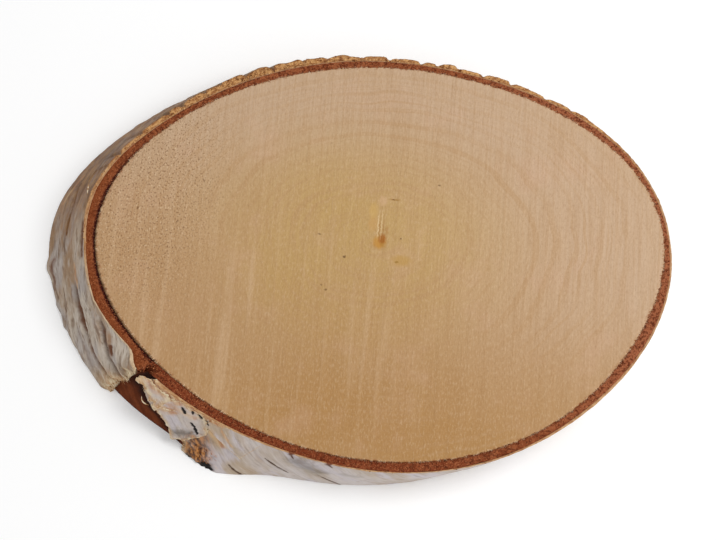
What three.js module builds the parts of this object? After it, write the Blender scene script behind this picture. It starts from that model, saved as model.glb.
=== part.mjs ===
// Birch wood slice: one oblique cut through a nearly round birch trunk, lying on its flat underside.
// Millimetres, +Z up. +X runs along the slice, and the trunk's axis leans down towards -X.
// Angles go round the trunk from +X towards +Y, in degrees. Radii are square across the trunk.
import * as THREE from "three";

// Driving dimensions
const thickness = 17; // between the two sawn faces
const lean = THREE.MathUtils.degToRad(42); // of the trunk's axis from the vertical
const woodRadius = 80.6; // of the trunk without its bark
const innerBarkThickness = 3.0;
const outerBarkThickness = 1.45;
const thinnest = 0.55; // of the outer bark, where it is worn away
const clearance = 0.36; // between neighbouring layers

// Lobes round the trunk: how many, how deep, angle of the first crest
const woodLobes = [
  [3, 1.74, 40],
  [4, 0.69, 13],
  [5, 0.28, 22],
];
const innerBarkLobes = [
  [1, 0.78, 239],
  [2, 0.33, 85],
  [3, 0.26, 90],
  [5, 0.17, 60],
  [6, 0.37, 43],
];

// Humps round the trunk: angle of the middle, half width, height
const shrinkageCrack = [190, 26, 0.7]; // widens the clearance between the wood and the inner bark
const outerBarkHumps = [
  [118, 22, 1.8], // the thick corky stretch at the upper left
  [68, 5, 0.8],
  [79, 2.2, 0.9],
  [50, 5, 0.4],
  [170, 12, 0.5],
  [340, 55, -0.6], // worn thin on the right
  [20, 45, -0.6],
];
const swellings = [
  [238, 20, 2.4], // the trunk swells towards the underside
  [249, 7.5, 5.0], // a grown-over knot
];
const swellingPower = 1.5; // how steeply the swellings rise with depth
const knob = { angle: 186, halfWidth: 3, depth: 15.5, halfDepth: 3, height: 1.2 };

// Corky crumbs along the thick stretch: how many round the trunk, height
const crumbs = [
  [47, 0.3],
  [83, 0.22],
];
const crumbStretch = [118, 30];

// Long grooves that run round the trunk at one place along its axis, between two angles
const grooves = [
  { along: 86, from: 163, to: 180, deep: 0.5 },
  { along: 80.8, from: 195, to: 224, deep: 1.1 },
  { along: 74.4, from: 204, to: 224, deep: 1.2 },
  { along: 42.5, from: 236, to: 256, deep: 0.9 },
  { along: 29.5, from: 253, to: 262, deep: 0.5 },
  { along: 18.4, from: 264, to: 273, deep: 0.5 },
];
const grooveHalfWidth = 1.2;
const grooveFade = 4; // degrees over which a groove's end runs out

// Thick rolled ends of the torn sheets: angle, half width, place along the axis, half width, height
const rolledEnds = [
  { angle: 221, halfAngle: 4.5, along: 77.6, halfAlong: 2.4, height: 1.5 },
  { angle: 219, halfAngle: 3, along: 69, halfAlong: 3, height: 0.9 },
  { angle: 240, halfAngle: 5, along: 58, halfAlong: 4, height: 0.9 },
];

// The torn gap in the outer bark, as the depth and the angle of points down each edge
const gapLeftEdge = [
  [0, 218.6],
  [2.4, 219.6],
  [3.9, 218.2],
  [6, 219.8],
  [8.7, 221],
  [11, 219.9],
  [13.6, 221.2],
  [17, 222],
];
const gapRightEdge = [
  [0, 223],
  [2.8, 223.1],
  [4.4, 221.2],
  [5.4, 223],
  [7.3, 226],
  [9, 229.6],
  [10.9, 236],
  [12.6, 239.2],
  [17, 242.6],
];
const edgeLift = { left: 0.5, right: 1.1, fade: 10 }; // how far the torn edges curl off the trunk

// How finely the bark is divided
const fineStretch = [193, 263]; // the torn and swollen stretch
const fineStep = 1.55;
const coarseStep = 3.6;
const outerBarkRows = 10;
const innerBarkRows = 6;
const woodPoints = 180;

const fullTurn = 360;
const radians = THREE.MathUtils.degToRad;
const { lerp, smoothstep, euclideanModulo } = THREE.MathUtils;

// A smooth hump of height 1 that fades over the half width
const hump = (distance, halfWidth) => Math.exp(-((distance / halfWidth) ** 2));

// The shorter way from one angle to another
const turnBetween = (from, to) => euclideanModulo(to - from + fullTurn / 2, fullTurn) - fullTurn / 2;

// Lobes add up to a wavy outline
function wavy(lobes, angle) {
  return lobes.reduce((sum, [count, deep, crest]) => sum + deep * Math.cos(count * radians(angle - crest)), 0);
}

function humpsAt(humps, angle) {
  return humps.reduce((sum, [middle, width, high]) => sum + high * hump(turnBetween(middle, angle), width), 0);
}

// A point of the trunk. Depth is measured down from the top face.
function trunkPoint(angle, radius, depth) {
  const across = radius * Math.cos(radians(angle));
  return new THREE.Vector3(
    across / Math.cos(lean) - depth * Math.tan(lean),
    radius * Math.sin(radians(angle)),
    thickness - depth,
  );
}

// How far down the trunk's axis such a point lies
function alongTrunk(angle, radius, depth) {
  return depth / Math.cos(lean) - radius * Math.cos(radians(angle)) * Math.tan(lean);
}

// The angle of a torn edge at a depth, between the two nearest points of its list
function edgeAt(edge, depth) {
  const below = Math.max(1, edge.findIndex(([pointDepth]) => pointDepth >= depth));
  const [[fromDepth, fromAngle], [toDepth, toAngle]] = [edge[below - 1], edge[below]];
  return lerp(fromAngle, toAngle, (depth - fromDepth) / (toDepth - fromDepth));
}

// Radii of the surfaces, from the wood outwards
function woodSurface(angle) {
  return woodRadius + wavy(woodLobes, angle);
}

function innerBarkInside(angle) {
  return woodSurface(angle) + clearance + humpsAt([shrinkageCrack], angle);
}

function swelling(angle, depth) {
  return humpsAt(swellings, angle) * (depth / thickness) ** swellingPower;
}

function innerBarkOutside(angle, depth) {
  const thick = innerBarkThickness - clearance + wavy(innerBarkLobes, angle);
  return woodSurface(angle) + thick + swelling(angle, depth);
}

function edgeCurl(angle, depth) {
  const fromRight = turnBetween(edgeAt(gapRightEdge, depth), angle);
  const fromLeft = turnBetween(angle, edgeAt(gapLeftEdge, depth));
  const right = edgeLift.right * Math.exp(-Math.abs(fromRight) / edgeLift.fade);
  const left = edgeLift.left * Math.exp(-Math.abs(fromLeft) / edgeLift.fade);
  return right + left;
}

function outerBarkInside(angle, depth) {
  return innerBarkOutside(angle, depth) + clearance + edgeCurl(angle, depth);
}

// What stands out of the papery bark or is sunk into it
function barkRelief(angle, depth) {
  const along = alongTrunk(angle, woodRadius + innerBarkThickness + outerBarkThickness, depth);
  const sunk = grooves.map((groove) => {
    const starts = smoothstep(angle, groove.from - grooveFade, groove.from);
    const ends = 1 - smoothstep(angle, groove.to, groove.to + grooveFade);
    return -groove.deep * starts * ends * hump(along - groove.along, grooveHalfWidth);
  });
  const raised = rolledEnds.map((end) => {
    return end.height * hump(angle - end.angle, end.halfAngle) * hump(along - end.along, end.halfAlong);
  });
  const knobHere = knob.height * hump(angle - knob.angle, knob.halfWidth) * hump(depth - knob.depth, knob.halfDepth);
  return [...sunk, ...raised, knobHere].reduce((sum, one) => sum + one, 0);
}

function crumbliness(angle) {
  const strength = hump(turnBetween(crumbStretch[0], angle), crumbStretch[1]);
  return strength * crumbs.reduce((sum, [count, high]) => sum + high * Math.sin(count * radians(angle)), 0);
}

function outerBarkOutside(angle, depth) {
  const round = euclideanModulo(angle, fullTurn);
  const thick = outerBarkThickness + humpsAt(outerBarkHumps, round) + crumbliness(round) + barkRelief(round, depth);
  return outerBarkInside(angle, depth) + Math.max(thinnest, thick - clearance);
}

// Angles from start to end, closer together along the torn and swollen stretch
function stepsRound(start, end) {
  const angles = [start];
  while (angles.at(-1) < end - fineStep) {
    const round = euclideanModulo(angles.at(-1), fullTurn);
    const fine = round > fineStretch[0] && round < fineStretch[1];
    angles.push(angles.at(-1) + (fine ? fineStep : coarseStep));
  }
  return angles;
}

function depths(rows) {
  return Array.from({ length: rows + 1 }, (_, row) => (thickness * row) / rows);
}

// A closed mesh through cross-sections that go down the outside and up the inside. Faces of both walls are
// split alike, so that a thin wall never crosses itself. An open strip gets a cap at each end.
function loft(sections, outsideCount, closed) {
  const count = sections[0].length;
  const faces = [];
  const join = (from, to) => {
    for (let j = 0; j < count; j += 1) {
      const k = (j + 1) % count;
      const [a, b, c, d] = [from * count + j, from * count + k, to * count + k, to * count + j];
      if (j < outsideCount) faces.push(a, b, c, a, c, d);
      else faces.push(b, c, d, b, d, a);
    }
  };
  for (let i = 1; i < sections.length; i += 1) join(i - 1, i);
  if (closed) join(sections.length - 1, 0);
  else {
    const last = (sections.length - 1) * count;
    for (let j = 0; j < outsideCount - 1; j += 1) {
      const [outer, lower, lowerInner, inner] = [j, j + 1, count - 2 - j, count - 1 - j];
      faces.push(lower, outer, inner, lower, inner, lowerInner);
      faces.push(last + outer, last + lower, last + lowerInner, last + outer, last + lowerInner, last + inner);
    }
  }
  const geometry = new THREE.BufferGeometry().setFromPoints(sections.flat());
  geometry.setIndex(faces);
  return geometry;
}

function piece(name, geometry, color, roughness) {
  const material = new THREE.MeshStandardMaterial({ color, roughness, metalness: 0, flatShading: true });
  const mesh = new THREE.Mesh(geometry, material);
  mesh.name = name;
  return mesh;
}

// The pale disc: its wavy outline pushed through the slice along the leaning axis
function wood() {
  const outline = Array.from({ length: woodPoints }, (_, i) => {
    const angle = (fullTurn * i) / woodPoints;
    const { x, y } = trunkPoint(angle, woodSurface(angle), thickness);
    return new THREE.Vector2(x, y);
  });
  const geometry = new THREE.ExtrudeGeometry(new THREE.Shape(outline), { depth: thickness, bevelEnabled: false });
  geometry.applyMatrix4(new THREE.Matrix4().makeShear(0, 0, 0, 0, Math.tan(lean), 0));
  return piece("wood", geometry, "#c9a678", 0.7);
}

// The closed red-brown ring between the wood and the papery bark
function innerBark() {
  const rows = depths(innerBarkRows);
  const start = gapLeftEdge[0][1];
  const sections = stepsRound(start, start + fullTurn).map((angle) => {
    const inside = innerBarkInside(angle);
    return [
      ...rows.map((depth) => trunkPoint(angle, innerBarkOutside(angle, depth), depth)),
      trunkPoint(angle, inside, thickness),
      trunkPoint(angle, inside, 0),
    ];
  });
  return piece("inner_bark", loft(sections, rows.length, true), "#6d3d24", 0.85);
}

// The papery white bark: one torn sheet from the gap's right edge round the trunk to its left edge
function outerBark() {
  const rows = depths(outerBarkRows);
  const [start, end] = [gapRightEdge[0][1], gapLeftEdge[0][1] + fullTurn];
  const steps = stepsRound(start, end);
  const sections = steps.map((step) => {
    const share = (step - start) / (steps.at(-1) - start);
    const wall = rows.map((depth) => {
      const angle = lerp(edgeAt(gapRightEdge, depth), edgeAt(gapLeftEdge, depth) + fullTurn, share);
      return { angle, depth };
    });
    const outside = wall.map(({ angle, depth }) => trunkPoint(angle, outerBarkOutside(angle, depth), depth));
    const inside = wall.map(({ angle, depth }) => trunkPoint(angle, outerBarkInside(angle, depth), depth));
    return [...outside, ...inside.reverse()];
  });
  return piece("outer_bark", loft(sections, rows.length, false), "#b9ab9c", 0.75);
}

const slice = new THREE.Group();
slice.add(wood(), innerBark(), outerBark());

// The origin is the middle of the underside
const box = new THREE.Box3().setFromObject(slice);
slice.position.set(-(box.min.x + box.max.x) / 2, -(box.min.y + box.max.y) / 2, 0);

export default slice;
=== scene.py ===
import math

import bmesh
import bpy
import numpy as np
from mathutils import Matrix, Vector


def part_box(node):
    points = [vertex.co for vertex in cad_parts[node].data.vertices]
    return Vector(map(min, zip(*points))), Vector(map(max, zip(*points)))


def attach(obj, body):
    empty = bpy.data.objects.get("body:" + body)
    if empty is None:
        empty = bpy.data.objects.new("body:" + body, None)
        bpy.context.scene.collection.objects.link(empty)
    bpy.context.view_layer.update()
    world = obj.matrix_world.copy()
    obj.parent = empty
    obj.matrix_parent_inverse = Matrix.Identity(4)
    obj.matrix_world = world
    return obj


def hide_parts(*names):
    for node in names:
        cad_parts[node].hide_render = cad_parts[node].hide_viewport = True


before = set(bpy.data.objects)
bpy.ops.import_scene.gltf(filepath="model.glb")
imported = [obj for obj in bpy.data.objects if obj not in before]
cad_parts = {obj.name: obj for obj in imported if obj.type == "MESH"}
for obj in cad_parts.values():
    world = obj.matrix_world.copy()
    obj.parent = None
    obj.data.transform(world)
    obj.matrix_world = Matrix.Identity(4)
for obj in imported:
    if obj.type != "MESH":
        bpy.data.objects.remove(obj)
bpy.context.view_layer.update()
print("frame loaded")

mm = 0.001
mmPerDegree = 1.5  # round the bark
mmPerDepth = 1.1  # along the leaning bark, for one millimetre down
barkRadius = 86
degree = math.radians(1) * barkRadius * mm

# Angles go round the trunk from +X towards +Y in degrees, radii are square across it, and depth is
# measured down from the sawn face. Everything is in millimetres until place() turns it into metres.
sliceDepth = 17
trunk = {
    "lean": math.radians(42),  # of the trunk's axis from the vertical, down towards -X
    "woodRadius": 80.6,
    "woodLobes": [(3, 1.74, 40), (4, 0.69, 13), (5, 0.28, 22)],  # how many, how deep, first crest
    "innerBark": 3.0,
    "innerBarkLobes": [(1, 0.78, 239), (2, 0.33, 85), (3, 0.26, 90), (5, 0.17, 60), (6, 0.37, 43)],
    "swellings": [(238, 20, 2.4), (249, 7.5, 5.0)],  # angle, half width, height
    "swellingPower": 1.5,
}


def cosine(angle):
    return np.cos(np.radians(angle))


def sine(angle):
    return np.sin(np.radians(angle))


def hump(distance, halfWidth):
    return np.exp(-(np.asarray(distance, float) / halfWidth) ** 2)


def turn(start, angle):  # the shorter way round
    return (np.asarray(angle, float) - start + 180) % 360 - 180


def humps(rows, angle):
    return sum(high * hump(turn(middle, angle), width) for middle, width, high in rows)


def lobes(rows, angle):
    return sum(deep * cosine(count * (angle - crest)) for count, deep, crest in rows)


def ease(value, start=0.0, end=1.0):
    t = np.clip((np.asarray(value, float) - start) / (end - start), 0, 1)
    return t * t * (3 - 2 * t)


def between(a, b, share):
    return a * (1 - share) + b * share


def roughness2d(x, y, seed):  # smooth noise from -1 to 1 on a lattice of step 1
    table = np.random.default_rng(seed).uniform(-1, 1, (256, 256))
    x, y = np.broadcast_arrays(np.asarray(x, float), np.asarray(y, float))
    left, low = np.floor(x).astype(int), np.floor(y).astype(int)
    fx, fy = x - left, y - low
    fx, fy = fx * fx * (3 - 2 * fx), fy * fy * (3 - 2 * fy)
    corner = [[table[(left + i) % 256, (low + j) % 256] for i in (0, 1)] for j in (0, 1)]
    return between(between(*corner[0], fx), between(*corner[1], fx), fy)


def woodSurface(angle):
    return trunk["woodRadius"] + lobes(trunk["woodLobes"], angle)


def trunkPlace(angle, radius, depth):  # before the slice is centred
    across = radius * cosine(angle)
    lean = trunk["lean"]
    x = across / math.cos(lean) - depth * math.tan(lean)
    return np.stack(np.broadcast_arrays(x, radius * sine(angle), sliceDepth - depth), -1)


def alongTrunk(angle, radius, depth):
    return depth / math.cos(trunk["lean"]) - radius * cosine(angle) * math.tan(trunk["lean"])


def findShift():  # the CAD wood says where the slice lies
    angles = np.arange(0, 360, 2.0)
    rim = np.concatenate([trunkPlace(angles, woodSurface(angles), depth) for depth in (0, sliceDepth)])
    low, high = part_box("wood")
    middle = np.array([low.x + high.x, low.y + high.y]) / 2 / mm
    return middle - (rim.min(0) + rim.max(0))[:2] / 2


shift = findShift()
print("trunk middle of the sawn face at", shift)


def place(angle, radius, depth):
    points = trunkPlace(angle, radius, depth)
    points[..., 0] += shift[0]
    points[..., 1] += shift[1]
    return points * mm


def gridFaces(rows, columns, closedRows=False, closedColumns=False):  # faces of a grid of points
    i = np.arange(rows if closedRows else rows - 1)[:, None]
    j = np.arange(columns if closedColumns else columns - 1)[None, :]
    nextI, nextJ = (i + 1) % rows, (j + 1) % columns
    corners = (i * columns + j, i * columns + nextJ, nextI * columns + nextJ, nextI * columns + j)
    return np.stack(np.broadcast_arrays(*corners), -1).reshape(-1, 4).tolist()


def addObject(name, data):
    made = bpy.data.objects.new(name, data)
    bpy.context.scene.collection.objects.link(made)
    return made


def buildMesh(name, points, faces):
    mesh = bpy.data.meshes.new(name)
    mesh.from_pydata(points.reshape(-1, 3).tolist(), [], faces)
    mesh.update()
    mesh.polygons.foreach_set("use_smooth", np.ones(len(mesh.polygons), bool))
    return addObject(name, mesh)


def zipper(first, second):  # triangles between two rows of point numbers of unequal length
    faces, i, j = [], 0, 0
    while i < len(first) - 1 or j < len(second) - 1:
        ahead = (i + 1) / len(first) < (j + 1) / len(second)
        if j == len(second) - 1 or (ahead and i < len(first) - 1):
            faces.append((first[i], first[i + 1], second[j]))
            i += 1
        else:
            faces.append((first[i], second[j + 1], second[j]))
            j += 1
    return faces


def keep(made, name, values):  # a number for each point, read by the materials
    values = np.asarray(values, np.float32)
    kind = "FLOAT_VECTOR" if values.ndim > 1 and values.shape[-1] == 3 else "FLOAT"
    layer = made.data.attributes.new(name, kind, "POINT")
    layer.data.foreach_set("vector" if kind == "FLOAT_VECTOR" else "value", values.ravel())


# Node helpers: put() adds a node, most of the others return its output socket. Where they take a
# share, a tuple stands for what to fade: (value, start, end) or (value, start, end, low, high).
def wire(tree, node, inputs):
    for key, value in inputs.items():
        if isinstance(value, bpy.types.NodeSocket):
            tree.links.new(value, node.inputs[key])
        else:
            node.inputs[key].default_value = value


def put(tree, kind, inputs=None, **settings):
    node = tree.nodes.new(kind)
    for key, value in settings.items():
        setattr(node, key, value)
    wire(tree, node, inputs or {})
    return node


def calc(tree, operation, a, b=0.0):
    return put(tree, "ShaderNodeMath", {0: a, 1: b}, operation=operation).outputs[0]


def fade(tree, value, start, end, low=0.0, high=1.0):
    inputs = {"Value": value, "From Min": start, "From Max": end, "To Min": low, "To Max": high}
    return put(tree, "ShaderNodeMapRange", inputs, interpolation_type="SMOOTHSTEP").outputs[0]


def faded(tree, share):
    return fade(tree, *share) if isinstance(share, tuple) else share


def times(tree, a, b):
    return calc(tree, "MULTIPLY", faded(tree, a), faded(tree, b))


def mix(tree, share, a, b):
    inputs = {0: faded(tree, share), 6: a, 7: b}
    return put(tree, "ShaderNodeMix", inputs, data_type="RGBA").outputs[2]


def twoTone(tree, share, first, second):
    return mix(tree, share, tint(*first), tint(*second))


def paint(tree, colour, layers):  # each layer is (share, colour) and lies over the ones before
    for share, shade in layers:
        colour = mix(tree, share, colour, tint(*shade) if isinstance(shade, tuple) else shade)
    return colour


def axes(tree, where):
    return put(tree, "ShaderNodeSeparateXYZ", {0: where}).outputs


def joined(tree, x, y, z):
    return put(tree, "ShaderNodeCombineXYZ", {0: x, 1: y, 2: z}).outputs[0]


def vectorMath(tree, operation, inputs):
    return put(tree, "ShaderNodeVectorMath", inputs, operation=operation).outputs


def noise(tree, where, scale, detail=3.0, rough=0.5):
    inputs = {"Vector": where, "Scale": scale, "Detail": detail, "Roughness": rough}
    return put(tree, "ShaderNodeTexNoise", inputs).outputs["Fac"]


def wander(tree, scale, detail, reach, where=None):  # an offset that changes from place to place
    inputs = {"Scale": scale, "Detail": detail, **({"Vector": where} if where else {})}
    away = put(tree, "ShaderNodeTexNoise", inputs).outputs["Color"]
    away = vectorMath(tree, "SUBTRACT", {0: away, 1: (0.5, 0.5, 0.5)})[0]
    return vectorMath(tree, "SCALE", {0: away, "Scale": reach})[0]


def wandered(tree, where, scale, reach):
    return vectorMath(tree, "ADD", {0: where, 1: wander(tree, scale, 2.0, reach, where)})[0]


def stretched(tree, where, scale, location=(0, 0, 0)):
    return put(tree, "ShaderNodeMapping", {"Vector": where, "Scale": scale, "Location": location}).outputs[0]


def blob(tree, where, middle, size, soft=0.5):  # 1 inside an ellipse, fading to 0 outside it
    scale = [1 / s for s in size]
    inside = stretched(tree, where, scale, [-m * s for m, s in zip(middle, scale)])
    away = vectorMath(tree, "LENGTH", {0: inside})["Value"]
    return fade(tree, away, 1 + soft, 1 - soft)


def kept(tree, name):
    return put(tree, "ShaderNodeAttribute", attribute_name=name).outputs["Fac"]


def keptPlace(tree):  # metres round the trunk, along it and out from its middle
    return put(tree, "ShaderNodeAttribute", attribute_name="trunkPlace").outputs["Vector"]


def objectPlace(tree):
    return put(tree, "ShaderNodeTexCoord").outputs["Object"]


def beyond(tree, around, start, end):  # fades in from one angle round the trunk to another
    return fade(tree, around, start * degree, end * degree)


def tint(red, green, blue):  # from screen values of 0 to 255
    return [((c / 255 + 0.055) / 1.055) ** 2.4 for c in (red, green, blue)] + [1.0]


def newMaterial(name):
    material = bpy.data.materials.new(name)
    material.use_nodes = True
    return material, material.node_tree, material.node_tree.nodes["Principled BSDF"]


def bump(tree, bsdf, *layers):  # each layer is (height socket, distance in metres)
    normal = None
    for height, distance in layers:
        inputs = {"Height": height, "Distance": distance, "Strength": 1.0}
        if normal:
            inputs["Normal"] = normal
        normal = put(tree, "ShaderNodeBump", inputs).outputs[0]
    tree.links.new(normal, bsdf.inputs["Normal"])


# The pale sawn disc
woodShape = {
    "columns": 1440,
    "topRows": 30,
    "sideRows": 8,
    "edgeRadius": 0.2,
    "fray": 0.24,  # how ragged the rim is
    "swell": (185, 26, 0.45),  # the rim stands out beside the crack: angle, half width, height
    "pith": (-1.4, 4.9),  # from the middle of the sawn face
    "pithDeep": 0.5,
    "saw": ((0.035, 0.55, 0.05, 11), (0.03, 0.2, 0.2, 12)),  # relief: height, scales, seed
    "sideFade": (0.35, 0.9),  # from each face, where the colour of the bare side sets in
    "sapwood": (196, 166, 136),
    # yellow-olive heart, browner bottom and lower left, paler right: middle from the pith, half sizes,
    # softness, strength, colour
    "zones": [
        ((-12, -4), (58, 44), 0.55, 1.0, (190, 155, 97)),
        ((0, -95), (170, 62), 0.6, 0.95, (172, 127, 70)),
        ((-100, -30), (45, 50), 0.7, 0.8, (180, 139, 94)),
        ((85, 20), (60, 70), 0.8, 0.2, (206, 174, 142)),
    ],
    # on the left: scale, fade from and to, shifted by, colour
    "specks": [
        (1800.0, 0.55, 0.66, 0.0, (132, 94, 58)),
        (1700.0, 0.58, 0.72, 0.4, (218, 190, 154)),
        (700.0, 0.7, 0.74, 0.8, (120, 84, 50)),
    ],
    # pith, its streak and the small brown marks: middle from the pith, half sizes, strength, colour
    "marks": [
        ((-3.4, 13.3), (1.6, 3.2), 0.5, (208, 168, 96)),
        ((-3.2, 7.7), (1.8, 3.0), 0.45, (200, 152, 88)),
        ((-0.2, 0.3), (2.4, 2.6), 0.9, (186, 132, 52)),
        ((0.9, 1.9), (1.3, 1.9), 0.9, (164, 98, 30)),
        ((2.3, 5.6), (0.5, 1.6), 0.5, (168, 118, 60)),
        ((-1.2, 7.4), (0.22, 5.2), 0.6, (228, 198, 154)),
        ((0.1, 7.8), (0.2, 5.6), 0.5, (226, 196, 152)),
        ((-0.6, 5.5), (0.2, 4.0), 0.7, (160, 112, 58)),
        ((0.8, 5.5), (0.2, 4.5), 0.6, (164, 116, 62)),
        ((0.0, 17.5), (1.6, 2.0), 0.35, (216, 176, 140)),
        ((6.9, -7.4), (0.7, 0.5), 0.95, (112, 76, 30)),
        ((8.6, -6.8), (3.6, 2.2), 0.6, (184, 142, 68)),
        ((4.4, 18.4), (2.2, 0.4), 0.75, (160, 118, 58)),
        ((4.0, 18.5), (0.5, 0.35), 0.85, (116, 76, 34)),
        ((-13.3, -6.6), (0.6, 0.5), 0.85, (104, 74, 40)),
        ((7.9, 2.4), (0.4, 0.45), 0.8, (120, 84, 48)),
        ((-23.6, 2.0), (0.55, 0.45), 0.7, (120, 88, 52)),
        ((-19.4, -20.6), (0.5, 0.4), 0.75, (116, 84, 48)),
        ((-21.2, -18.8), (0.4, 0.4), 0.6, (124, 90, 54)),
        ((21.4, 25.8), (0.5, 0.45), 0.7, (116, 84, 50)),
    ],
}


def woodRim(angle):  # it stands out a little beside the crack
    middle, width, high = woodShape["swell"]
    return woodSurface(angle) + high * hump(turn(middle, angle), width)


def makeWoodDisc():
    shape = woodShape
    angles = np.linspace(0, 360, shape["columns"], endpoint=False)
    fray = 0.45 * roughness2d(angles * 0.9, 0, 3) + 0.7 * roughness2d(angles * 2.6, 0, 4)
    rim = woodRim(angles) + shape["fray"] * fray
    shares = np.linspace(0, 1, shape["topRows"] + 1)[1:] ** 0.85
    edge = shape["edgeRadius"]
    # radius and depth from the middle of the top, over the rounded edges, to the middle underneath
    profile = [(share * (rim - edge), 0) for share in shares]
    profile += [(rim - edge * (1 - math.sin(t)), edge * (1 - math.cos(t))) for t in (0.4, 0.8, 1.2, 1.57)]
    profile += [(rim, deep) for deep in np.linspace(edge, sliceDepth - edge, shape["sideRows"] + 1)[1:]]
    profile += [(rim - edge * (1 - math.cos(t)), sliceDepth - edge * (1 - math.sin(t)))
                for t in (0.5, 1.0, 1.57)]
    profile += [(share * (rim - edge), sliceDepth) for share in (0.85, 0.6, 0.35, 0.15)]
    radius = np.stack([away for away, deep in profile], 1)
    depth = np.array([deep for away, deep in profile], float)[None, :] + 0 * radius
    points = place(angles[:, None] + 0 * radius, radius, depth)
    top = len(shares)
    x, y = points[:, :top, 0] / mm, points[:, :top, 1] / mm
    relief = sum(high * roughness2d(x * scaleX, y * scaleY, seed)
                 for high, scaleX, scaleY, seed in shape["saw"])
    pithX, pithY = np.array(shape["pith"]) + shift
    fromPith = np.hypot((x - pithX) / 1.3, (y - pithY) / 2.2)
    relief -= shape["pithDeep"] * hump(fromPith, 1.0)
    points[:, :top, 2] += (relief - 0.04) * ease(shares[None, :], 1.0, 0.97) * mm
    columns, count = radius.shape
    faces = gridFaces(columns, count, True)
    poles = [place(0.0, 0.0, 0.0), place(0.0, 0.0, sliceDepth)]
    starts = [(k * count, (k + 1) % columns * count) for k in range(columns)]
    faces += [(here, after, columns * count) for here, after in starts]
    faces += [(after + count - 1, here + count - 1, columns * count + 1) for here, after in starts]
    made = buildMesh("woodDisc", np.concatenate([points.reshape(-1, 3), poles]), faces)
    start, full = shape["sideFade"]
    side = ease(depth, start, full) * (1 - ease(depth, sliceDepth - full, sliceDepth - start))
    keep(made, "side", np.concatenate([side.ravel(), [0, 0]]))
    return made


def sawnBirch():
    shape = woodShape
    material, tree, bsdf = newMaterial("sawnBirch")
    x, y, z = axes(tree, objectPlace(tree))
    pithX, pithY = (np.array(shape["pith"]) + shift) * mm
    # the rings run down the leaning trunk, so x is taken back along the lean to the sawn face
    down = times(tree, calc(tree, "SUBTRACT", sliceDepth * mm, z), math.tan(trunk["lean"]))
    ground = joined(tree, calc(tree, "ADD", x, down), y, 0.0)
    cosLean = math.cos(trunk["lean"])
    across = stretched(tree, ground, (cosLean, 1, 1), (-pithX * cosLean, -pithY, 0))
    bent = axes(tree, wandered(tree, across, 28.0, 0.012))
    fromPith = vectorMath(tree, "LENGTH", {0: joined(tree, bent[0], bent[1], 0.0)})["Value"]
    inputs = {"W": times(tree, fromPith, 1000.0), "Scale": 0.3, "Detail": 5.0, "Roughness": 0.66}
    rings = put(tree, "ShaderNodeTexNoise", inputs, noise_dimensions="1D").outputs["Fac"]
    patchy = noise(tree, across, 30.0, 2.0)

    def spot(where, middle, half, soft=0.5):
        away = (pithX + middle[0] * mm, pithY + middle[1] * mm, 0)
        return blob(tree, where, away, (half[0] * mm, half[1] * mm, 1), soft)

    cloud = noise(tree, ground, 22.0, 4.0, 0.6)
    pinkish = noise(tree, stretched(tree, ground, (1, 1, 1), (0.3, 0.1, 0)), 45.0, 4.0, 0.6)
    # saw marks straight across the slice, fine fibres and short dark pores
    saw = noise(tree, stretched(tree, ground, (1.0, 0.035, 1)), 850.0, 3.0, 0.7)
    coarseSaw = noise(tree, stretched(tree, ground, (1.0, 0.05, 1)), 240.0, 2.0, 0.6)
    grain = noise(tree, stretched(tree, ground, (1.0, 0.35, 1)), 1500.0, 3.0, 0.6)
    lowerLeft = spot(ground, (-70, -40), (70, 50), 0.8)
    nearLeft = spot(ground, (-93, 20), (26, 48), 0.75)
    layers = [(times(tree, spot(ground, middle, half, soft), strength), shade)
              for middle, half, soft, strength, shade in shape["zones"]]
    layers += [
        ((cloud, 0.35, 0.7, 0.0, 0.3), (189, 152, 112)),
        ((pinkish, 0.5, 0.75, 0.0, 0.3), (206, 166, 138)),
        (times(tree, (rings, 0.46, 0.62, 0.0, 0.42), (patchy, 0.35, 0.62, 0.4, 1.0)), (181, 141, 97)),
        ((saw, 0.38, 0.68, 0.0, 0.28), (168, 126, 82)),
        (times(tree, (coarseSaw, 0.5, 0.72), (lowerLeft, 0.0, 1.0, 0.06, 0.32)), (214, 182, 146)),
        ((grain, 0.48, 0.74, 0.0, 0.34), (214, 184, 148)),
        ((grain, 0.48, 0.28, 0.0, 0.26), (160, 120, 78)),
    ]
    for scale, start, end, away, shade in shape["specks"]:
        specks = noise(tree, stretched(tree, ground, (1.0, 0.65, 1), (away, 0, 0)), scale, 1.5, 0.5)
        layers.append((times(tree, (specks, start, end), (nearLeft, 0.0, 1.0, 0.12, 0.8)), shade))
    uneven = wandered(tree, ground, 900.0, 0.0012)  # so that marks aren't perfect ellipses
    for middle, half, strength, shade in shape["marks"]:
        layers.append((times(tree, spot(uneven, middle, half), strength), shade))
    layers.append((kept(tree, "side"), (112, 54, 20)))  # bare sapwood, redder where the bark was
    colour = paint(tree, tint(*shape["sapwood"]), layers)
    roughness = fade(tree, saw, 0.3, 0.7, 0.62, 0.78)
    wire(tree, bsdf, {"Base Color": colour, "Roughness": roughness, "Specular IOR Level": 0.3})
    bump(tree, bsdf, (saw, 0.00012), (coarseSaw, 0.0002), (grain, 0.0001))
    return material


woodDisc = makeWoodDisc()
woodDisc.data.materials.append(sawnBirch())
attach(woodDisc, "root")
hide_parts("wood")
print("wood disc made,", len(woodDisc.data.polygons), "faces")

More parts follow.
